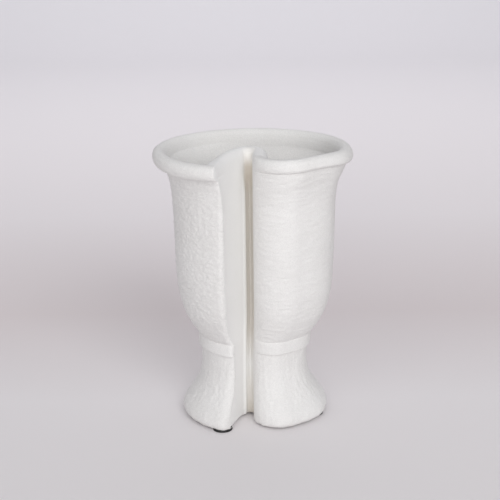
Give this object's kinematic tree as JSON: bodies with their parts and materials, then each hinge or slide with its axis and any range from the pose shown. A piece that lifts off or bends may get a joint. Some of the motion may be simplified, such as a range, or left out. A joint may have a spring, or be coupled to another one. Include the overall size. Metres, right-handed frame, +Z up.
{
  "type": "folded ceramic vase",
  "caption": "Free-standing white stoneware vase with a rolled rim, tall bowl, collar band and flared foot, its front wall folded inward in one vertical cleft.",
  "frame": {"origin": "on the ground, at the centre of the vase's bounding box seen from above; the turned axis stands 3.9 mm in front of it", "axes": "+Z up along the turned axis; the fold faces -Y; +X is the viewer's right when looking at the fold"},
  "size_m": [0.2, 0.1921, 0.282],
  "materials": {
    "textured_stoneware": "matte, sponged and ridged",
    "smooth_stoneware": "matte, wiped smooth",
    "rubber_pad": "matte black"
  },
  "bodies": {
    "root": {"rim_roll": "textured_stoneware", "bowl_wall": "textured_stoneware", "collar_band": "textured_stoneware", "foot_wall": "textured_stoneware", "cleft_panel": "smooth_stoneware", "base_plate": "textured_stoneware", "pad_front": "rubber_pad", "pad_right": "rubber_pad", "pad_back": "rubber_pad"}
  },
  "joints": []
}
